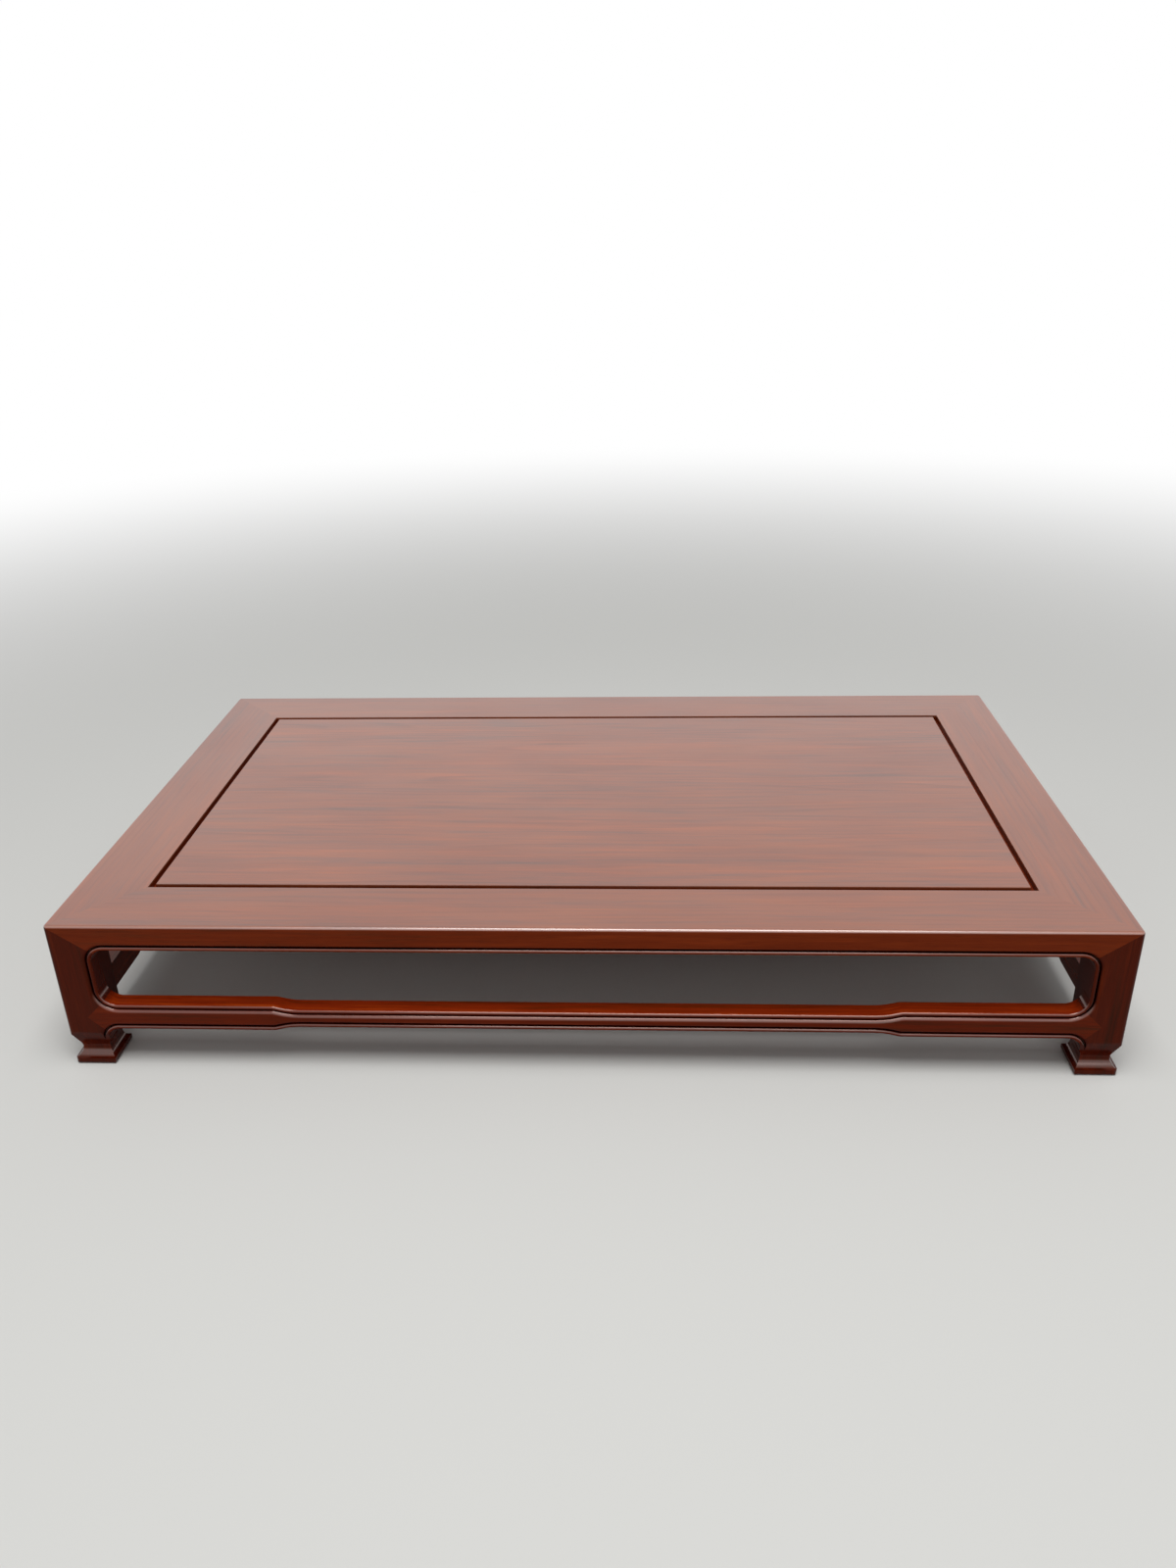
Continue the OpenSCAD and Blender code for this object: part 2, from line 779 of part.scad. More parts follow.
module back_left_leg() {
    mirror([0, 1, 0]) front_left_leg();
}

module back_right_leg() {
    mirror([1, 0, 0]) mirror([0, 1, 0]) front_left_leg();
}

// Stretchers

// Stretcher on a face: half is half the table's size along it, gap half the width between the legs
module stretcher(half, gap, waist_at, tenon_z) {
    tip = gap + point_reach;
    low = stretcher_z - under_corner_r;
    high = stretcher_top + lower_corner_r;
    color(stretcher_color) {
        difference() {
            face_depth(stretcher_t) difference() {
                intersection() {
                    polygon([
                        [-tip, stretcher_mid], [0, stretcher_mid - tip],
                        [tip, stretcher_mid], [0, stretcher_mid + tip]
                    ]);
                    translate([-tip, low]) square([2 * tip, high - low]);
                }
                upper_opening(gap, waist_at);
                lower_opening(gap, waist_at);
            }
            waist_moulding(gap, waist_at);
            for (side = [0, 1]) mirror([side, 0, 0]) stretcher_end_moulding(gap, waist_at);
        }
        for (side = [0, 1]) mirror([side, 0, 0]) stretcher_tenon_block(half, tenon_z, 0, 0);
    }
}

module front_stretcher() {
    on_front() stretcher(half_w, long_gap, long_waist_at, long_tenon_z);
}

module back_stretcher() {
    mirror([0, 1, 0]) front_stretcher();
}

module left_stretcher() {
    on_left() stretcher(half_d, short_gap, short_waist_at, short_tenon_z);
}

module right_stretcher() {
    mirror([1, 0, 0]) left_stretcher();
}

front_rail();
back_rail();
left_rail();
right_rail();
top_panel();
left_batten();
right_batten();
front_left_leg();
front_right_leg();
back_left_leg();
back_right_leg();
front_stretcher();
back_stretcher();
left_stretcher();
right_stretcher();
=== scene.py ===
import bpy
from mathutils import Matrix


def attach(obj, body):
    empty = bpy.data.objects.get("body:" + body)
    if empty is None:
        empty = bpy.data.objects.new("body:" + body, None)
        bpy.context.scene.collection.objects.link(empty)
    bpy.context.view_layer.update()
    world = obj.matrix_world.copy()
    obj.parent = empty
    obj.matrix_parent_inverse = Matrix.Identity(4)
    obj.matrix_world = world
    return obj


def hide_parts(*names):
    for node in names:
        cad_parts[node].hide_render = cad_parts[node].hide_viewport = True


bl_info = {
    "name": "Low display table",
    "version": (1, 0, 0),
    "blender": (4, 5, 0),
    "location": "3D View > Sidebar > Display table",
    "description": "Softens a lacquered rosewood table's arrises and gives each member its grain",
    "category": "Object",
}

import math

import bpy
from mathutils import Matrix, Vector
from mathutils.bvhtree import BVHTree

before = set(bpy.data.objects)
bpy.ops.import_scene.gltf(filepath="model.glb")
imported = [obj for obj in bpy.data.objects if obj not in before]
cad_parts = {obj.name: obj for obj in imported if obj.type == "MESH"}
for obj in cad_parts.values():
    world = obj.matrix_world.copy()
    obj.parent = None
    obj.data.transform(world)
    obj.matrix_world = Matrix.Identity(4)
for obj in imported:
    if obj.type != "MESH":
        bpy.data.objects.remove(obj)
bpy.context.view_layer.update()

MM = 0.001

LONG_RAILS = ("front_rail", "back_rail")
SHORT_RAILS = ("left_rail", "right_rail")
LONG_STRETCHERS = ("front_stretcher", "back_stretcher")
SHORT_STRETCHERS = ("left_stretcher", "right_stretcher")
LEGS = ("front_left_leg", "front_right_leg", "back_left_leg", "back_right_leg")
BATTENS = ("left_batten", "right_batten")


# Colours and nodes


def linear(hex_colour):
    """A colour written as sRGB hex, such as #7A3020, as linear red, green, blue and 1."""
    channels = [int(hex_colour[i : i + 2], 16) / 255 for i in (1, 3, 5)]
    return [c / 12.92 if c <= 0.04045 else ((c + 0.055) / 1.055) ** 2.4 for c in channels] + [1.0]


WHITE = linear("#FFFFFF")


def add_node(tree, kind, inputs=None, **settings):
    """Adds a node. inputs maps a socket's name or number to a value or a socket that feeds it."""
    node = tree.nodes.new(kind)
    for name, value in settings.items():
        setattr(node, name, value)
    for key, value in (inputs or {}).items():
        if isinstance(value, bpy.types.NodeSocket):
            tree.links.new(value, node.inputs[key])
        else:
            node.inputs[key].default_value = value
    return node


def empty_material(name):
    material = bpy.data.materials.new(name)
    material.use_nodes = True
    material.node_tree.nodes.clear()
    return material


def maths(tree, operation, *values):
    return add_node(tree, "ShaderNodeMath", dict(enumerate(values)), operation=operation).outputs[0]


def ramp(tree, factor, stops):
    """A ramp through stops, each a place from 0 to 1 and a linear colour."""
    node = add_node(tree, "ShaderNodeValToRGB", {"Fac": factor})
    points = node.color_ramp.elements
    while len(points) < len(stops):
        points.new(0.5)
    for point, (place, colour) in zip(points, stops):
        point.position = place
        point.color = colour
    return node.outputs["Color"]


def colour_ramp(tree, factor, stops):
    """A ramp through stops, each a place from 0 to 1 and a colour as sRGB hex."""
    return ramp(tree, factor, [(place, linear(colour)) for place, colour in stops])


def mixed(tree, share, first, second, blend_type="MIX"):
    """The first colour, which gives way to the second as the share goes from 0 to 1."""
    return add_node(
        tree,
        "ShaderNodeMix",
        {0: share, 6: first, 7: second},
        data_type="RGBA",
        blend_type=blend_type,
    ).outputs[2]


def tinted(tree, strength, body, tint):
    """The body colour multiplied by a tint, at a strength from 0 to 1."""
    return mixed(tree, strength, body, tint, blend_type="MULTIPLY")


def spread(tree, factor, low, high, to_low=0.0, to_high=1.0, **settings):
    """Maps the factor's stretch from low to high onto to_low to to_high."""
    return add_node(
        tree,
        "ShaderNodeMapRange",
        {"Value": factor, "From Min": low, "From Max": high, "To Min": to_low, "To Max": to_high},
        **settings,
    ).outputs[0]


def noise(tree, vector, detail, roughness=0.5):
    return add_node(
        tree,
        "ShaderNodeTexNoise",
        {"Vector": vector, "Scale": 1.0, "Detail": detail, "Roughness": roughness},
    )


# Wood

# Turn that lays the grain's direction along the pattern's x axis
GRAIN_TURN = {
    "x": (0, 0, 0),
    "y": (0, 0, -math.pi / 2),
    "z": (0, math.pi / 2, 0),
}

# Length along the grain and width across it of each pattern, in mm. The vessels are 0.15 mm wide,
# and drawn about 0.4 mm wide, the least that shows.
PATTERN_MM = {
    "wander": (240, 60),
    "streaks": (45, 2.4),
    "ring presence": (90, 16),
    "vessels": (12, 0.45),
    "fibres": (55, 1.7),
    "painted_sheen": (130, 42),
    "smudges": (60, 35),
    "waviness": (22, 9),
}

# Figure of each kind of member: length and width of its bands and the gap between its ring lines in
# mm, how many gaps the lines swing by, how dark they are, and the contrast of the bands
FRAME_FIGURE = {
    "length": 340,
    "width": 13,
    "ring_gap": 5.0,
    "arches": 4.0,
    "line_strength": 0.28,
    "contrast": 0.65,
}
PANEL_FIGURE = {
    "length": 380,
    "width": 15,
    "ring_gap": 6.4,
    "arches": 8.0,
    "line_strength": 0.36,
    "contrast": 0.85,
}
BATTEN_FIGURE = {
    "length": 260,
    "width": 12,
    "ring_gap": 4.0,
    "arches": 3.0,
    "line_strength": 0.5,
    "contrast": 1.0,
}
LEG_FIGURE = {
    "length": 160,
    "width": 9,
    "ring_gap": 3.2,
    "arches": 2.0,
    "line_strength": 0.45,
    "contrast": 0.9,
}
STRETCHER_FIGURE = {
    "length": 280,
    "width": 9,
    "ring_gap": 3.4,
    "arches": 2.0,
    "line_strength": 0.45,
    "contrast": 0.9,
}

# Share of the streaks in the bands' tone
STREAK_SHARE = 0.5
# The drift that bends the ring lines is wider than the bands by this factor
DRIFT_WIDENING = 1.8
# Share of their strength that the ring lines keep where they are faintest
FAINT_LINE_SHARE = 0.1
RING_TINT = ((0.0, "#FFFFFF"), (0.55, "#F8F2EE"), (0.90, "#A98C82"), (1.0, "#FFFFFF"))
VESSEL_TINT = ((0.32, "#9C8078"), (0.44, "#FFFFFF"))
VESSEL_STRENGTH = 0.4
FIBRE_TINT = ((0.30, "#D6BEB5"), (0.65, "#FFFFFF"))
FIBRE_STRENGTH = 0.6
# How squarely a stretcher's face looks up where its painted light begins, and where it is in full
PAINTED_LIGHT_FROM = 0.55
PAINTED_LIGHT_TO = 0.95

# Painted shade in sunk lines and inside corners, by how much open space lies within the reach below
RECESS_SHADE_TINT = ((0.36, "#4E3226"), (0.55, "#A07C6C"), (0.80, "#DCC8BE"), (0.98, "#FFFFFF"))
RECESS_SHADE_REACH = 3 * MM
RECESS_SHADE_SAMPLES = 6


def stretched(tree, in_mm, along_mm, across_mm):
    """The pattern's coordinates with one unit every along_mm of grain and across_mm across it."""
    return add_node(
        tree,
        "ShaderNodeMapping",
        {"Vector": in_mm, "Scale": (1 / along_mm, 1 / across_mm, 1 / across_mm)},
    ).outputs[0]


def grain_noise(tree, in_mm, pattern, detail, roughness=0.5):
    """Noise with the length and width that PATTERN_MM gives the pattern."""
    return noise(tree, stretched(tree, in_mm, *PATTERN_MM[pattern]), detail, roughness)


def grain_coordinates(tree, coordinates, grain, place):
    """Coordinates in mm with x along the grain, moved by place."""
    turned = add_node(
        tree, "ShaderNodeMapping", {"Vector": coordinates, "Rotation": GRAIN_TURN[grain]}
    ).outputs[0]
    to_mm = (1 / MM, 1 / MM, 1 / MM)
    return add_node(
        tree, "ShaderNodeMapping", {"Vector": turned, "Scale": to_mm, "Location": place}
    ).outputs[0]


def band_tone(tree, in_mm, figure):
    """Bands that wander with the grain, and streaks a few millimetres wide inside them."""
    wander = grain_noise(tree, in_mm, "wander", 2.0).outputs["Color"]
    bent = add_node(
        tree,
        "ShaderNodeVectorMath",
        {0: stretched(tree, in_mm, figure["length"], figure["width"]), 1: wander},
        operation="ADD",
    ).outputs[0]
    bands = noise(tree, bent, 3.0, 0.55).outputs["Fac"]
    streaks = grain_noise(tree, in_mm, "streaks", 4.0, 0.6).outputs["Fac"]
    tone = add_node(tree, "ShaderNodeMix", {0: STREAK_SHARE, 2: bands, 3: streaks}).outputs[0]
    reach = 0.5 * figure["contrast"]
    return spread(tree, tone, 0, 1, 0.5 - reach, 0.5 + reach)


def wood_ramp(tree, tone, colours):
    """The wood's brown, red-brown and orange, laid over the tone of its bands."""
    dark, mid, warm = colours
    return colour_ramp(tree, tone, ((0.36, dark), (0.48, mid), (0.53, mid), (0.66, warm)))


def ring_lines(tree, in_mm, figure):
    """The trunk's rings, cut lengthwise: thin dark lines that run together, part and close into
    arches. Gives their tint, and their strength from place to place."""
    across = add_node(tree, "ShaderNodeSeparateXYZ", {0: in_mm}).outputs["Y"]
    drift_place = stretched(tree, in_mm, figure["length"], DRIFT_WIDENING * figure["width"])
    drift = spread(tree, noise(tree, drift_place, 1.5).outputs["Fac"], 0, 1, 0, figure["arches"])
    phase = maths(tree, "MULTIPLY_ADD", across, 1 / figure["ring_gap"], drift)
    tint = colour_ramp(tree, maths(tree, "FRACT", phase), RING_TINT)
    present = grain_noise(tree, in_mm, "ring presence", 2.0).outputs["Fac"]
    strong = figure["line_strength"]
    return tint, spread(tree, present, 0.42, 0.62, FAINT_LINE_SHARE * strong, strong)


# Lacquer

# Heights between which the top's rubbed shine and its painted sheen give way to the clear gloss of
# the sides
CLEAR_BELOW = 93.5 * MM
HAZY_ABOVE = 94.3 * MM

# Colours of the painted sheen over brown, red-brown and orange wood, and its least and greatest
# share
PAINTED_SHEEN_COLOURS = ((0.38, "#B87E6A"), (0.5, "#D2865A"), (0.62, "#E8884C"))
LEAST_PAINTED_SHEEN = 0.16
MOST_PAINTED_SHEEN = 0.24

# Shine of the lacquer's body, which is stained red, and of the colourless coat over it, each on
# upright faces and on burnished rounds
CLEAR_LACQUER = {
    "body": 0.15,
    "burnished": 1.0,
    "tint": "#FF9C68",
    "coat": 0.04,
    "burnished_coat": 0.36,
}
SATIN_LACQUER = {
    "body": 0.3,
    "burnished": 0.3,
    "tint": "#FF9A70",
    "coat": 0.0,
    "burnished_coat": 0.0,
}
LACQUER_IOR = 1.5
COAT_ROUGHNESS = 0.1
UNDERSIDE_BODY = 0.04
UNDERSIDE_COAT = 0.0
# Share of the tint that a burnished round loses towards white
BURNISHED_WHITENESS = 0.6

# What the rubbed film on the top adds to the shine of the sides
TOP_ROUGHNESS = 0.14
TOP_BODY = 0.57
TOP_COAT = 0.58
TOP_COAT_ROUGHNESS = 0.12

RELIEF_DEPTH = 0.04 * MM
VESSEL_RELIEF = 0.10
WAVINESS_RELIEF = 0.2


def by_facing(tree, facing, below, upright, burnished):
    """A shine for undersides, one for upright and level faces, and one for the rounds that look
    upwards, which hands and cloths burnish."""
    stops = (
        (0.30, below),
        (0.48, upright),
        (0.55, upright),
        (0.68, burnished),
        (0.88, burnished),
        (0.97, upright),
    )
    greys = [(place, (shine, shine, shine, 1)) for place, shine in stops]
    return ramp(tree, spread(tree, facing, -1, 1), greys)


def relief(tree, height, strength, **under):
    """A normal bent by the height, over the normal that comes as Normal, if one does."""
    return add_node(
        tree,
        "ShaderNodeBump",
        {"Height": height, "Strength": strength, "Distance": RELIEF_DEPTH, **under},
    ).outputs[0]


def lacquer(tree, in_mm, facing, on_top, vessels, body, gloss, sheen):
    """Lacquer over a body colour. Rubbed out by hand, it is not quite even in gloss, and it lies a
    hair lower over the vessels."""

    def more_on_top(gain, value):
        return maths(tree, "MULTIPLY_ADD", on_top, gain, value)

    smudges = grain_noise(tree, in_mm, "smudges", 3.0).outputs["Fac"]
    side_gloss = spread(tree, smudges, 0.3, 0.7, *gloss)
    body_shine = by_facing(tree, facing, UNDERSIDE_BODY, sheen["body"], sheen["burnished"])
    coat = by_facing(tree, facing, UNDERSIDE_COAT, sheen["coat"], sheen["burnished_coat"])
    whiteness = more_on_top(1.0, by_facing(tree, facing, 0, 0, BURNISHED_WHITENESS))
    waviness = grain_noise(tree, in_mm, "waviness", 1.0).outputs["Fac"]
    sunk_vessels = relief(tree, vessels, VESSEL_RELIEF)
    return add_node(
        tree,
        "ShaderNodeBsdfPrincipled",
        {
            "Base Color": body,
            "Roughness": more_on_top(TOP_ROUGHNESS, side_gloss),
            "IOR": LACQUER_IOR,
            "Specular IOR Level": more_on_top(TOP_BODY, body_shine),
            "Specular Tint": mixed(tree, whiteness, linear(sheen["tint"]), WHITE),
            "Normal": relief(tree, waviness, WAVINESS_RELIEF, Normal=sunk_vessels),
            "Coat Weight": more_on_top(TOP_COAT, coat),
            "Coat Roughness": more_on_top(TOP_COAT_ROUGHNESS, COAT_ROUGHNESS),
            "Coat IOR": LACQUER_IOR,
        },
    )


def lacquered_rosewood(name, grain, figure, colours, gloss, sheen, place, painted_light_colours=None):
    """Rosewood under clear lacquer. Long soft bands of brown, red and orange run with the grain,
    with thin dark ring lines and fine vessel dashes. The sides are glossy and deep, and the
    undersides are oiled and nearly dull. The top is rubbed, so that it mirrors soft light in a
    wide, milky sheen, and a painted sheen lies over its colour and makes it paler.

    gloss is the least and the greatest roughness of the sides, and place moves the pattern, in mm.
    The last argument lists lighter, more orange colours for upward faces, as painted light."""
    material = empty_material(name)
    tree = material.node_tree
    coordinates = add_node(tree, "ShaderNodeTexCoord").outputs["Object"]
    in_mm = grain_coordinates(tree, coordinates, grain, place)
    normal = add_node(tree, "ShaderNodeNewGeometry").outputs["Normal"]
    facing = add_node(tree, "ShaderNodeSeparateXYZ", {0: normal}).outputs["Z"]

    tone = band_tone(tree, in_mm, figure)
    body = wood_ramp(tree, tone, colours)
    # painted light: upward faces take lighter, more orange colours
    if painted_light_colours:
        painted_light = spread(
            tree, facing, PAINTED_LIGHT_FROM, PAINTED_LIGHT_TO, interpolation_type="SMOOTHSTEP"
        )
        body = mixed(tree, painted_light, body, wood_ramp(tree, tone, painted_light_colours))

    line_tint, line_strength = ring_lines(tree, in_mm, figure)
    body = tinted(tree, line_strength, body, line_tint)
    vessels = grain_noise(tree, in_mm, "vessels", 2.0, 0.6).outputs["Fac"]
    body = tinted(tree, VESSEL_STRENGTH, body, colour_ramp(tree, vessels, VESSEL_TINT))
    fibres = grain_noise(tree, in_mm, "fibres", 4.0, 0.65).outputs["Fac"]
    body = tinted(tree, FIBRE_STRENGTH, body, colour_ramp(tree, fibres, FIBRE_TINT))

    # painted sheen: the top face's colour is paled towards the sheen colours, a little unevenly
    height = add_node(tree, "ShaderNodeSeparateXYZ", {0: coordinates}).outputs["Z"]
    on_top = spread(tree, height, CLEAR_BELOW, HAZY_ABOVE, interpolation_type="SMOOTHSTEP")
    cloud = grain_noise(tree, in_mm, "painted_sheen", 2.0).outputs["Fac"]
    painted_sheen = maths(tree, "MULTIPLY", on_top, spread(tree, cloud, 0.3, 0.7, LEAST_PAINTED_SHEEN, MOST_PAINTED_SHEEN))
    painted_sheen_colour = tinted(tree, line_strength, colour_ramp(tree, tone, PAINTED_SHEEN_COLOURS), line_tint)
    body = mixed(tree, painted_sheen, body, painted_sheen_colour)

    # painted shade: sunk lines and inside corners are darkened by how little open space lies around
    # them
    open_space = add_node(
        tree,
        "ShaderNodeAmbientOcclusion",
        {"Distance": RECESS_SHADE_REACH},
        samples=RECESS_SHADE_SAMPLES,
        only_local=True,
    ).outputs["AO"]
    body = tinted(tree, 1.0, body, colour_ramp(tree, open_space, RECESS_SHADE_TINT))

    shader = lacquer(tree, in_mm, facing, on_top, vessels, body, gloss, sheen)
    add_node(tree, "ShaderNodeOutputMaterial", {"Surface": shader.outputs[0]})
    return material


# Softened members

# Points closer than this are one, and faces that turn by less than this are one flat face
MERGE_DISTANCE = 0.002 * MM
FLAT_TURN = math.radians(0.15)
# Least turn and length of an edge that is sanded, and its least distance from other members
ARRIS_TURN = math.radians(40)
ARRIS_LENGTH = 4 * MM
JOINT_GAP = 0.03 * MM
# Number of faces across a sanded edge
ARRIS_FACES = 2
# Edges that the sanding leaves shorter than this are cleared
COLLAPSED_LENGTH = 0.001 * MM
# Largest turn that is shaded smoothly
SMOOTH_TURN = math.radians(32)
# Faces wider than this are flat, and outweigh the rounds beside them in the normals they share
FLAT_WIDTH = 1 * MM
FLAT_WEIGHT = 1000.0
ROUND_WEIGHT = 1.0


def deselect_all():
    if bpy.context.object and bpy.context.object.mode != "OBJECT":
        bpy.ops.object.mode_set(mode="OBJECT")
    bpy.ops.object.select_all(action="DESELECT")


def make_active(piece):
    deselect_all()
    piece.select_set(True)
    bpy.context.view_layer.objects.active = piece


def merged_copy(node_name, piece_name):
    """A copy of a CAD node with its loose triangles joined and its flat faces whole again."""
    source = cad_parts[node_name]
    piece = bpy.data.objects.new(piece_name, source.data.copy())
    bpy.context.scene.collection.objects.link(piece)
    piece.data.materials.clear()
    make_active(piece)
    bpy.ops.object.mode_set(mode="EDIT")
    bpy.ops.mesh.select_all(action="SELECT")
    bpy.ops.mesh.remove_doubles(threshold=MERGE_DISTANCE)
    bpy.ops.mesh.dissolve_limited(angle_limit=FLAT_TURN)
    bpy.ops.mesh.select_all(action="DESELECT")
    bpy.ops.object.mode_set(mode="OBJECT")
    return piece


def neighbour_surfaces(node_name):
    """Search trees over the other CAD nodes, to tell a joint's edge from an open arris."""
    trees = []
    for name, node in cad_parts.items():
        if name != node_name:
            points = [v.co for v in node.data.vertices]
            faces = [p.vertices[:] for p in node.data.polygons]
            trees.append(BVHTree.FromPolygons(points, faces))
    return trees


def open_arrises(piece, node_name):
    """Numbers of the long, convex, sharp edges that touch no other member."""
    trees = neighbour_surfaces(node_name)
    mesh = piece.data
    faces_of = {}
    for face in mesh.polygons:
        for key in face.edge_keys:
            faces_of.setdefault(key, []).append(face)
    chosen = []
    for edge in mesh.edges:
        faces = faces_of.get(edge.key, [])
        if len(faces) != 2:
            continue
        first, second = faces
        if first.normal.angle(second.normal, 0) < ARRIS_TURN:
            continue
        if (second.center - first.center).dot(first.normal) > 0:
            continue
        a, b = (mesh.vertices[i].co for i in edge.vertices)
        if (a - b).length < ARRIS_LENGTH:
            continue
        middle = (a + b) / 2
        if any(t.find_nearest(middle, JOINT_GAP)[0] is not None for t in trees):
            continue
        chosen.append(edge.index)
    return chosen


def soften(piece, node_name, radius):
    """Rounds the long open arrises as sanding between coats does, and leaves the joints' edges
    crisp. The piece comes with nothing selected in its mesh."""
    for index in open_arrises(piece, node_name):
        piece.data.edges[index].select = True
    make_active(piece)
    bpy.ops.object.mode_set(mode="EDIT")
    bpy.ops.mesh.select_mode(type="EDGE")
    bpy.ops.mesh.bevel(offset=radius, segments=ARRIS_FACES, affect="EDGES", clamp_overlap=True)
    # where rounded arrises meet, the bevel leaves points on one spot
    bpy.ops.mesh.select_all(action="SELECT")
    bpy.ops.mesh.dissolve_degenerate(threshold=COLLAPSED_LENGTH)
    bpy.ops.object.mode_set(mode="OBJECT")


def even_normals(piece):
    """Normals that are smooth over rounds and straight on flat faces, which keep theirs up to the
    seam."""
    make_active(piece)
    bpy.ops.object.shade_smooth_by_angle(angle=SMOOTH_TURN)
    mesh = piece.data
    weights = []
    at_vertex = [[] for _ in mesh.vertices]
    for face in mesh.polygons:
        corners = [mesh.vertices[i].co for i in face.vertices]
        after_each = corners[1:] + corners[:1]
        before_each = corners[-1:] + corners[:-1]
        outline = sum((b - a).length for a, b in zip(corners, after_each))
        weights.append(FLAT_WEIGHT if 2 * face.area > FLAT_WIDTH * outline else ROUND_WEIGHT)
        for vertex, place, before, after in zip(face.vertices, corners, before_each, after_each):
            corner_angle = (before - place).angle(after - place, 0)
            at_vertex[vertex].append((face, corner_angle))
    least_dot = math.cos(SMOOTH_TURN)
    normals = [None] * len(mesh.loops)
    for face in mesh.polygons:
        for corner in face.loop_indices:
            normal = Vector((0, 0, 0))
            for other, corner_angle in at_vertex[mesh.loops[corner].vertex_index]:
                if other.normal.dot(face.normal) >= least_dot:
                    normal += other.normal * (corner_angle * weights[other.index])
            normals[corner] = normal.normalized() if normal.length > 0 else face.normal
    mesh.normals_split_custom_set([tuple(n) for n in normals])


def dress_members(node_names, material):
    """Puts a softened, lacquered piece in the place of each CAD node."""
    radius = bpy.context.scene.display_table_arrises.radius
    for node_name in node_names:
        piece = merged_copy(node_name, node_name + "_wood")
        soften(piece, node_name, radius)
        even_normals(piece)
        piece.data.materials.append(material)
        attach(piece, "root")
        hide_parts(node_name)


# Stage, in metres

FLOOR_RADIUS = 4
FLOOR_CORNERS = 96
# Distances from the table between which the floor fades to white
FADE_FROM = 0.45
FADE_TO = 2.0

LAMP_TARGET = (0, 0, 0.05)
MAIN_LAMP_PLACE = (0.05, -0.55, 1.9)
MAIN_LAMP_SIZE = (1.1, 1.1)
FRONT_LAMP_PLACE = (0.25, -2.2, 1.6)
FRONT_LAMP_SIZE = (2.0, 1.2)

# The camera's place and direction, as fitted to the table's corners in the photograph
CAMERA_PLACE = (0.03787, -0.71503, 0.43814)
CAMERA_PITCH = math.radians(25.3186)
CAMERA_YAW = math.radians(-3.3641)
CAMERA_ROLL = math.radians(-1.4799)
SENSOR_MM = 36


def seen_or_mirrored(tree):
    """1 for what the camera sees directly or in a gloss, 0 for light that falls on the table."""
    path = add_node(tree, "ShaderNodeLightPath")
    return maths(tree, "MAXIMUM", path.outputs["Is Camera Ray"], path.outputs["Is Glossy Ray"])


def matt_paper(colour):
    """Paper that keeps the table's shadow. Far from the table it fades to white, as seen or
    mirrored, and so has no horizon."""
    paper = empty_material("floor_matt_paper")
    tree = paper.node_tree
    matt = add_node(
        tree,
        "ShaderNodeBsdfPrincipled",
        {"Base Color": linear(colour), "Roughness": 0.9, "IOR": 1.3},
    )
    coordinates = add_node(tree, "ShaderNodeTexCoord").outputs["Object"]
    distance = add_node(
        tree, "ShaderNodeVectorMath", {0: coordinates}, operation="LENGTH"
    ).outputs["Value"]
    far = spread(tree, distance, FADE_FROM, FADE_TO, interpolation_type="SMOOTHSTEP")
    faded = maths(tree, "MULTIPLY", far, seen_or_mirrored(tree))
    white = add_node(tree, "ShaderNodeEmission", {"Color": WHITE, "Strength": 1.0})
    surface = add_node(
        tree, "ShaderNodeMixShader", {0: faded, 1: matt.outputs[0], 2: white.outputs[0]}
    )
    add_node(tree, "ShaderNodeOutputMaterial", {"Surface": surface.outputs[0]})
    return paper


def studio_world(level):
    """Light from all round, and white where the camera or a polished face looks past the floor."""
    world = bpy.data.worlds.new("studio")
    world.use_nodes = True
    tree = world.node_tree
    tree.nodes.clear()
    strength = spread(tree, seen_or_mirrored(tree), 0, 1, level, 1.0)
    light = add_node(tree, "ShaderNodeBackground", {"Color": WHITE, "Strength": strength})
    add_node(tree, "ShaderNodeOutputWorld", {"Surface": light.outputs[0]})
    return world


def soft_lamp(name, place, size, watts):
    """Adds a rectangular lamp that looks at the table."""
    lamp_data = bpy.data.lights.new(name, "AREA")
    lamp_data.shape = "RECTANGLE"
    lamp_data.size, lamp_data.size_y = size
    lamp_data.energy = watts
    lamp = bpy.data.objects.new(name, lamp_data)
    bpy.context.scene.collection.objects.link(lamp)
    lamp.location = place
    ahead = Vector(LAMP_TARGET) - Vector(place)
    lamp.rotation_euler = ahead.to_track_quat("-Z", "Y").to_euler()


def photo_camera_matrix():
    pitch, yaw, roll = CAMERA_PITCH, CAMERA_YAW, CAMERA_ROLL
    ahead = Vector(
        (math.sin(yaw) * math.cos(pitch), math.cos(yaw) * math.cos(pitch), -math.sin(pitch))
    )
    right = Vector((math.cos(yaw), -math.sin(yaw), 0))
    up = right.cross(ahead)
    rolled_right = math.cos(roll) * right + math.sin(roll) * up
    rolled_up = -math.sin(roll) * right + math.cos(roll) * up
    turned = Matrix((rolled_right, rolled_up, -ahead)).transposed()
    return Matrix.Translation(CAMERA_PLACE) @ turned.to_4x4()


def photo_camera(lens):
    camera_data = bpy.data.cameras.new("photo_camera")
    camera_data.sensor_width = SENSOR_MM
    camera_data.lens = lens
    camera = bpy.data.objects.new("photo_camera", camera_data)
    bpy.context.scene.collection.objects.link(camera)
    camera.matrix_world = photo_camera_matrix()
    return camera


# Settings


def hex_setting(name, description, default):
    return bpy.props.StringProperty(
        name=name, description=description + ", as sRGB hex", default=default
    )


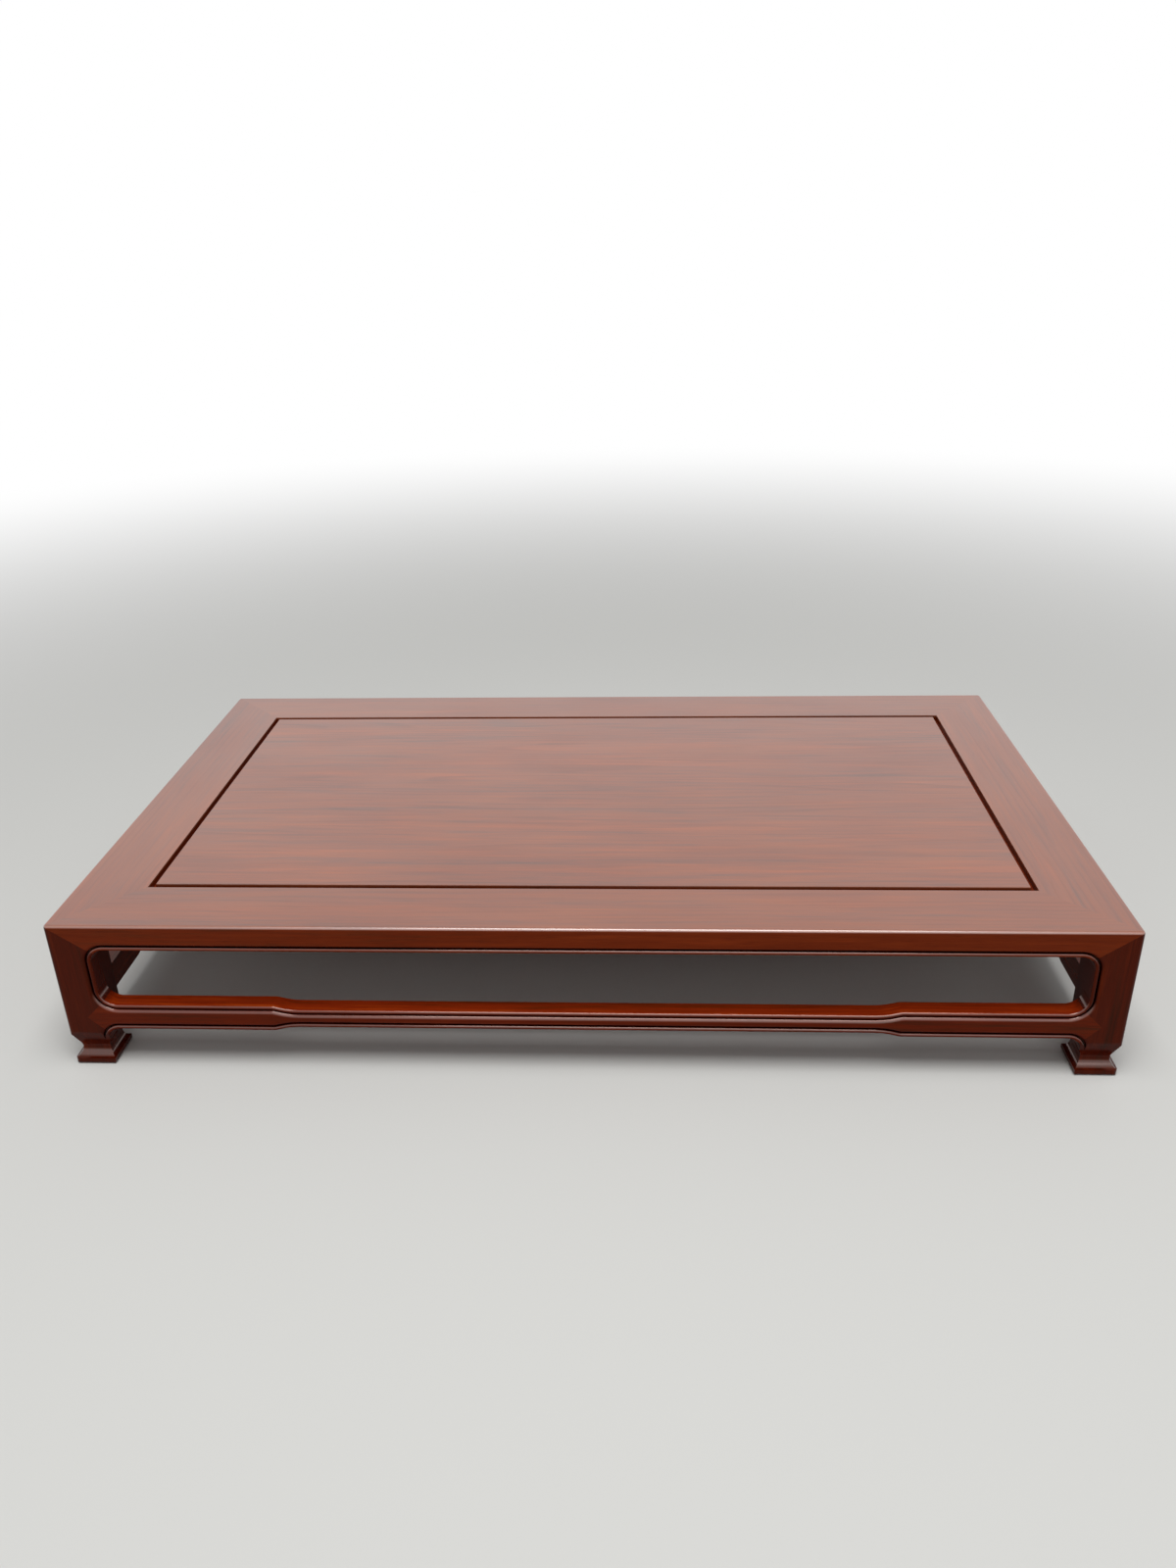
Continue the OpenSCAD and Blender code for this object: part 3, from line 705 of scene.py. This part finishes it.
class DisplayTableWood(bpy.types.PropertyGroup):
    top_dark: hex_setting("Top, brown", "Dark bands of the frame and panel", "#4C240F")
    top_mid: hex_setting(
        "Top, red-brown", "Wood between the bands of the frame and panel", "#6B2509"
    )
    top_warm: hex_setting("Top, orange", "Light bands of the frame and panel", "#80310F")
    leg_dark: hex_setting("Legs, brown", "Dark bands of the legs", "#341207")
    leg_mid: hex_setting("Legs, red-brown", "Wood between the bands of the legs", "#471104")
    leg_warm: hex_setting("Legs, orange", "Light bands of the legs", "#5E1D06")
    stretcher_dark: hex_setting("Stretchers, brown", "Dark bands of the stretchers", "#441A09")
    stretcher_mid: hex_setting(
        "Stretchers, red-brown", "Wood between the bands of the stretchers", "#5C1904"
    )
    stretcher_warm: hex_setting("Stretchers, orange", "Light bands of the stretchers", "#722507")
    # Painted light: lighter, more orange colours for the stretchers' upward faces
    painted_light_dark: hex_setting(
        "Painted light, brown", "Dark bands of the stretchers' upward faces", "#6C280B"
    )
    painted_light_mid: hex_setting(
        "Painted light, red-brown", "Wood between the bands of the upward faces", "#8A2B0B"
    )
    painted_light_warm: hex_setting(
        "Painted light, orange", "Light bands of the stretchers' upward faces", "#A5410F"
    )


class DisplayTableArrises(bpy.types.PropertyGroup):
    radius: bpy.props.FloatProperty(
        name="Arris radius",
        description="Size of the soft bevel on open edges",
        default=0.35 * MM,
        min=0.1 * MM,
        max=0.8 * MM,
        precision=5,
        unit="LENGTH",
    )


class DisplayTableStage(bpy.types.PropertyGroup):
    floor_colour: hex_setting("Floor", "Colour of the floor", "#CFCFCC")
    lens: bpy.props.FloatProperty(
        name="Lens",
        description="Focal length for a 36 mm tall frame, in millimetres",
        default=26.963,
        min=10,
        max=200,
    )
    world_level: bpy.props.FloatProperty(
        name="Ambient level",
        description="Strength of the light from all round",
        default=0.3,
        min=0,
        max=2,
    )
    lamp_watts: bpy.props.FloatProperty(
        name="Main lamp",
        description="Power of the large soft lamp overhead, in watts",
        default=30,
        min=0,
        max=500,
    )
    front_watts: bpy.props.FloatProperty(
        name="Front lamp",
        description="Power of the wide lamp in front, in watts",
        default=8,
        min=0,
        max=500,
    )


# Operators


class DISPLAYTABLE_OT_top_frame(bpy.types.Operator):
    """Dress the four mitred rails of the top frame"""

    bl_idname = "displaytable.top_frame"
    bl_label = "Top frame"

    def execute(self, context):
        wood = context.scene.display_table_wood
        for title, grain, names, place in (
            ("frame_rosewood_along", "x", LONG_RAILS, (310, 40, 0)),
            ("frame_rosewood_across", "y", SHORT_RAILS, (95, 270, 0)),
        ):
            material = lacquered_rosewood(
                title,
                grain,
                FRAME_FIGURE,
                colours=(wood.top_dark, wood.top_mid, wood.top_warm),
                gloss=(0.15, 0.21),
                sheen=CLEAR_LACQUER,
                place=place,
            )
            dress_members(names, material)
        return {"FINISHED"}


class DISPLAYTABLE_OT_panel(bpy.types.Operator):
    """Dress the floating panel inside the top frame"""

    bl_idname = "displaytable.panel"
    bl_label = "Panel"

    def execute(self, context):
        wood = context.scene.display_table_wood
        material = lacquered_rosewood(
            "panel_rosewood",
            "x",
            PANEL_FIGURE,
            colours=(wood.top_dark, wood.top_mid, wood.top_warm),
            gloss=(0.16, 0.22),
            sheen=CLEAR_LACQUER,
            place=(0, 20, 0),
        )
        dress_members(("top_panel",), material)
        return {"FINISHED"}


class DISPLAYTABLE_OT_battens(bpy.types.Operator):
    """Dress the two dovetailed battens under the panel"""

    bl_idname = "displaytable.battens"
    bl_label = "Battens"

    def execute(self, context):
        wood = context.scene.display_table_wood
        material = lacquered_rosewood(
            "batten_rosewood",
            "y",
            BATTEN_FIGURE,
            colours=(wood.top_dark, wood.top_mid, wood.top_warm),
            gloss=(0.42, 0.52),
            sheen=SATIN_LACQUER,
            place=(40, 0, 30),
        )
        dress_members(BATTENS, material)
        return {"FINISHED"}


class DISPLAYTABLE_OT_legs(bpy.types.Operator):
    """Dress the four legs, with the grain upright"""

    bl_idname = "displaytable.legs"
    bl_label = "Legs"

    def execute(self, context):
        wood = context.scene.display_table_wood
        material = lacquered_rosewood(
            "leg_rosewood",
            "z",
            LEG_FIGURE,
            colours=(wood.leg_dark, wood.leg_mid, wood.leg_warm),
            gloss=(0.12, 0.17),
            sheen=CLEAR_LACQUER,
            place=(10, 60, 20),
        )
        dress_members(LEGS, material)
        return {"FINISHED"}


class DISPLAYTABLE_OT_stretchers(bpy.types.Operator):
    """Dress the four waisted stretchers"""

    bl_idname = "displaytable.stretchers"
    bl_label = "Stretchers"

    def execute(self, context):
        wood = context.scene.display_table_wood
        for title, grain, names, place in (
            ("stretcher_rosewood_along", "x", LONG_STRETCHERS, (70, 0, 50)),
            ("stretcher_rosewood_across", "y", SHORT_STRETCHERS, (0, 120, 50)),
        ):
            material = lacquered_rosewood(
                title,
                grain,
                STRETCHER_FIGURE,
                colours=(wood.stretcher_dark, wood.stretcher_mid, wood.stretcher_warm),
                gloss=(0.13, 0.18),
                sheen=CLEAR_LACQUER,
                place=place,
                painted_light_colours=(wood.painted_light_dark, wood.painted_light_mid, wood.painted_light_warm),
            )
            dress_members(names, material)
        return {"FINISHED"}


class DISPLAYTABLE_OT_stage(bpy.types.Operator):
    """Set the floor, the soft light and the camera"""

    bl_idname = "displaytable.stage"
    bl_label = "Stage"

    def execute(self, context):
        scene = context.scene
        settings = scene.display_table_stage
        scene.view_settings.view_transform = "Standard"

        deselect_all()
        bpy.ops.mesh.primitive_circle_add(
            vertices=FLOOR_CORNERS, radius=FLOOR_RADIUS, fill_type="NGON", location=(0, 0, 0)
        )
        floor = context.object
        floor.name = "floor"
        floor.data.materials.append(matt_paper(settings.floor_colour))

        scene.world = studio_world(settings.world_level)
        soft_lamp("main_lamp", MAIN_LAMP_PLACE, MAIN_LAMP_SIZE, settings.lamp_watts)
        soft_lamp("front_lamp", FRONT_LAMP_PLACE, FRONT_LAMP_SIZE, settings.front_watts)
        scene.camera = photo_camera(settings.lens)
        return {"FINISHED"}


OPERATORS = (
    DISPLAYTABLE_OT_top_frame,
    DISPLAYTABLE_OT_panel,
    DISPLAYTABLE_OT_battens,
    DISPLAYTABLE_OT_legs,
    DISPLAYTABLE_OT_stretchers,
    DISPLAYTABLE_OT_stage,
)


class DISPLAYTABLE_PT_sidebar(bpy.types.Panel):
    bl_label = "Display table"
    bl_idname = "DISPLAYTABLE_PT_sidebar"
    bl_space_type = "VIEW_3D"
    bl_region_type = "UI"
    bl_category = "Display table"

    def draw(self, context):
        layout = self.layout
        for title, group in (
            ("Wood", context.scene.display_table_wood),
            ("Arrises", context.scene.display_table_arrises),
            ("Stage", context.scene.display_table_stage),
        ):
            box = layout.box()
            box.label(text=title)
            for name in group.__annotations__:
                box.prop(group, name)
        for operator in OPERATORS:
            layout.operator(operator.bl_idname)


CLASSES = (
    DisplayTableWood,
    DisplayTableArrises,
    DisplayTableStage,
    *OPERATORS,
    DISPLAYTABLE_PT_sidebar,
)


def register():
    for cls in CLASSES:
        bpy.utils.register_class(cls)
    scene = bpy.types.Scene
    scene.display_table_wood = bpy.props.PointerProperty(type=DisplayTableWood)
    scene.display_table_arrises = bpy.props.PointerProperty(type=DisplayTableArrises)
    scene.display_table_stage = bpy.props.PointerProperty(type=DisplayTableStage)


def unregister():
    scene = bpy.types.Scene
    del scene.display_table_stage
    del scene.display_table_arrises
    del scene.display_table_wood
    for cls in reversed(CLASSES):
        bpy.utils.unregister_class(cls)


def main():
    register()
    bpy.ops.displaytable.top_frame()
    bpy.ops.displaytable.panel()
    bpy.ops.displaytable.battens()
    bpy.ops.displaytable.legs()
    bpy.ops.displaytable.stretchers()
    bpy.ops.displaytable.stage()


if __name__ == "__main__":
    main()
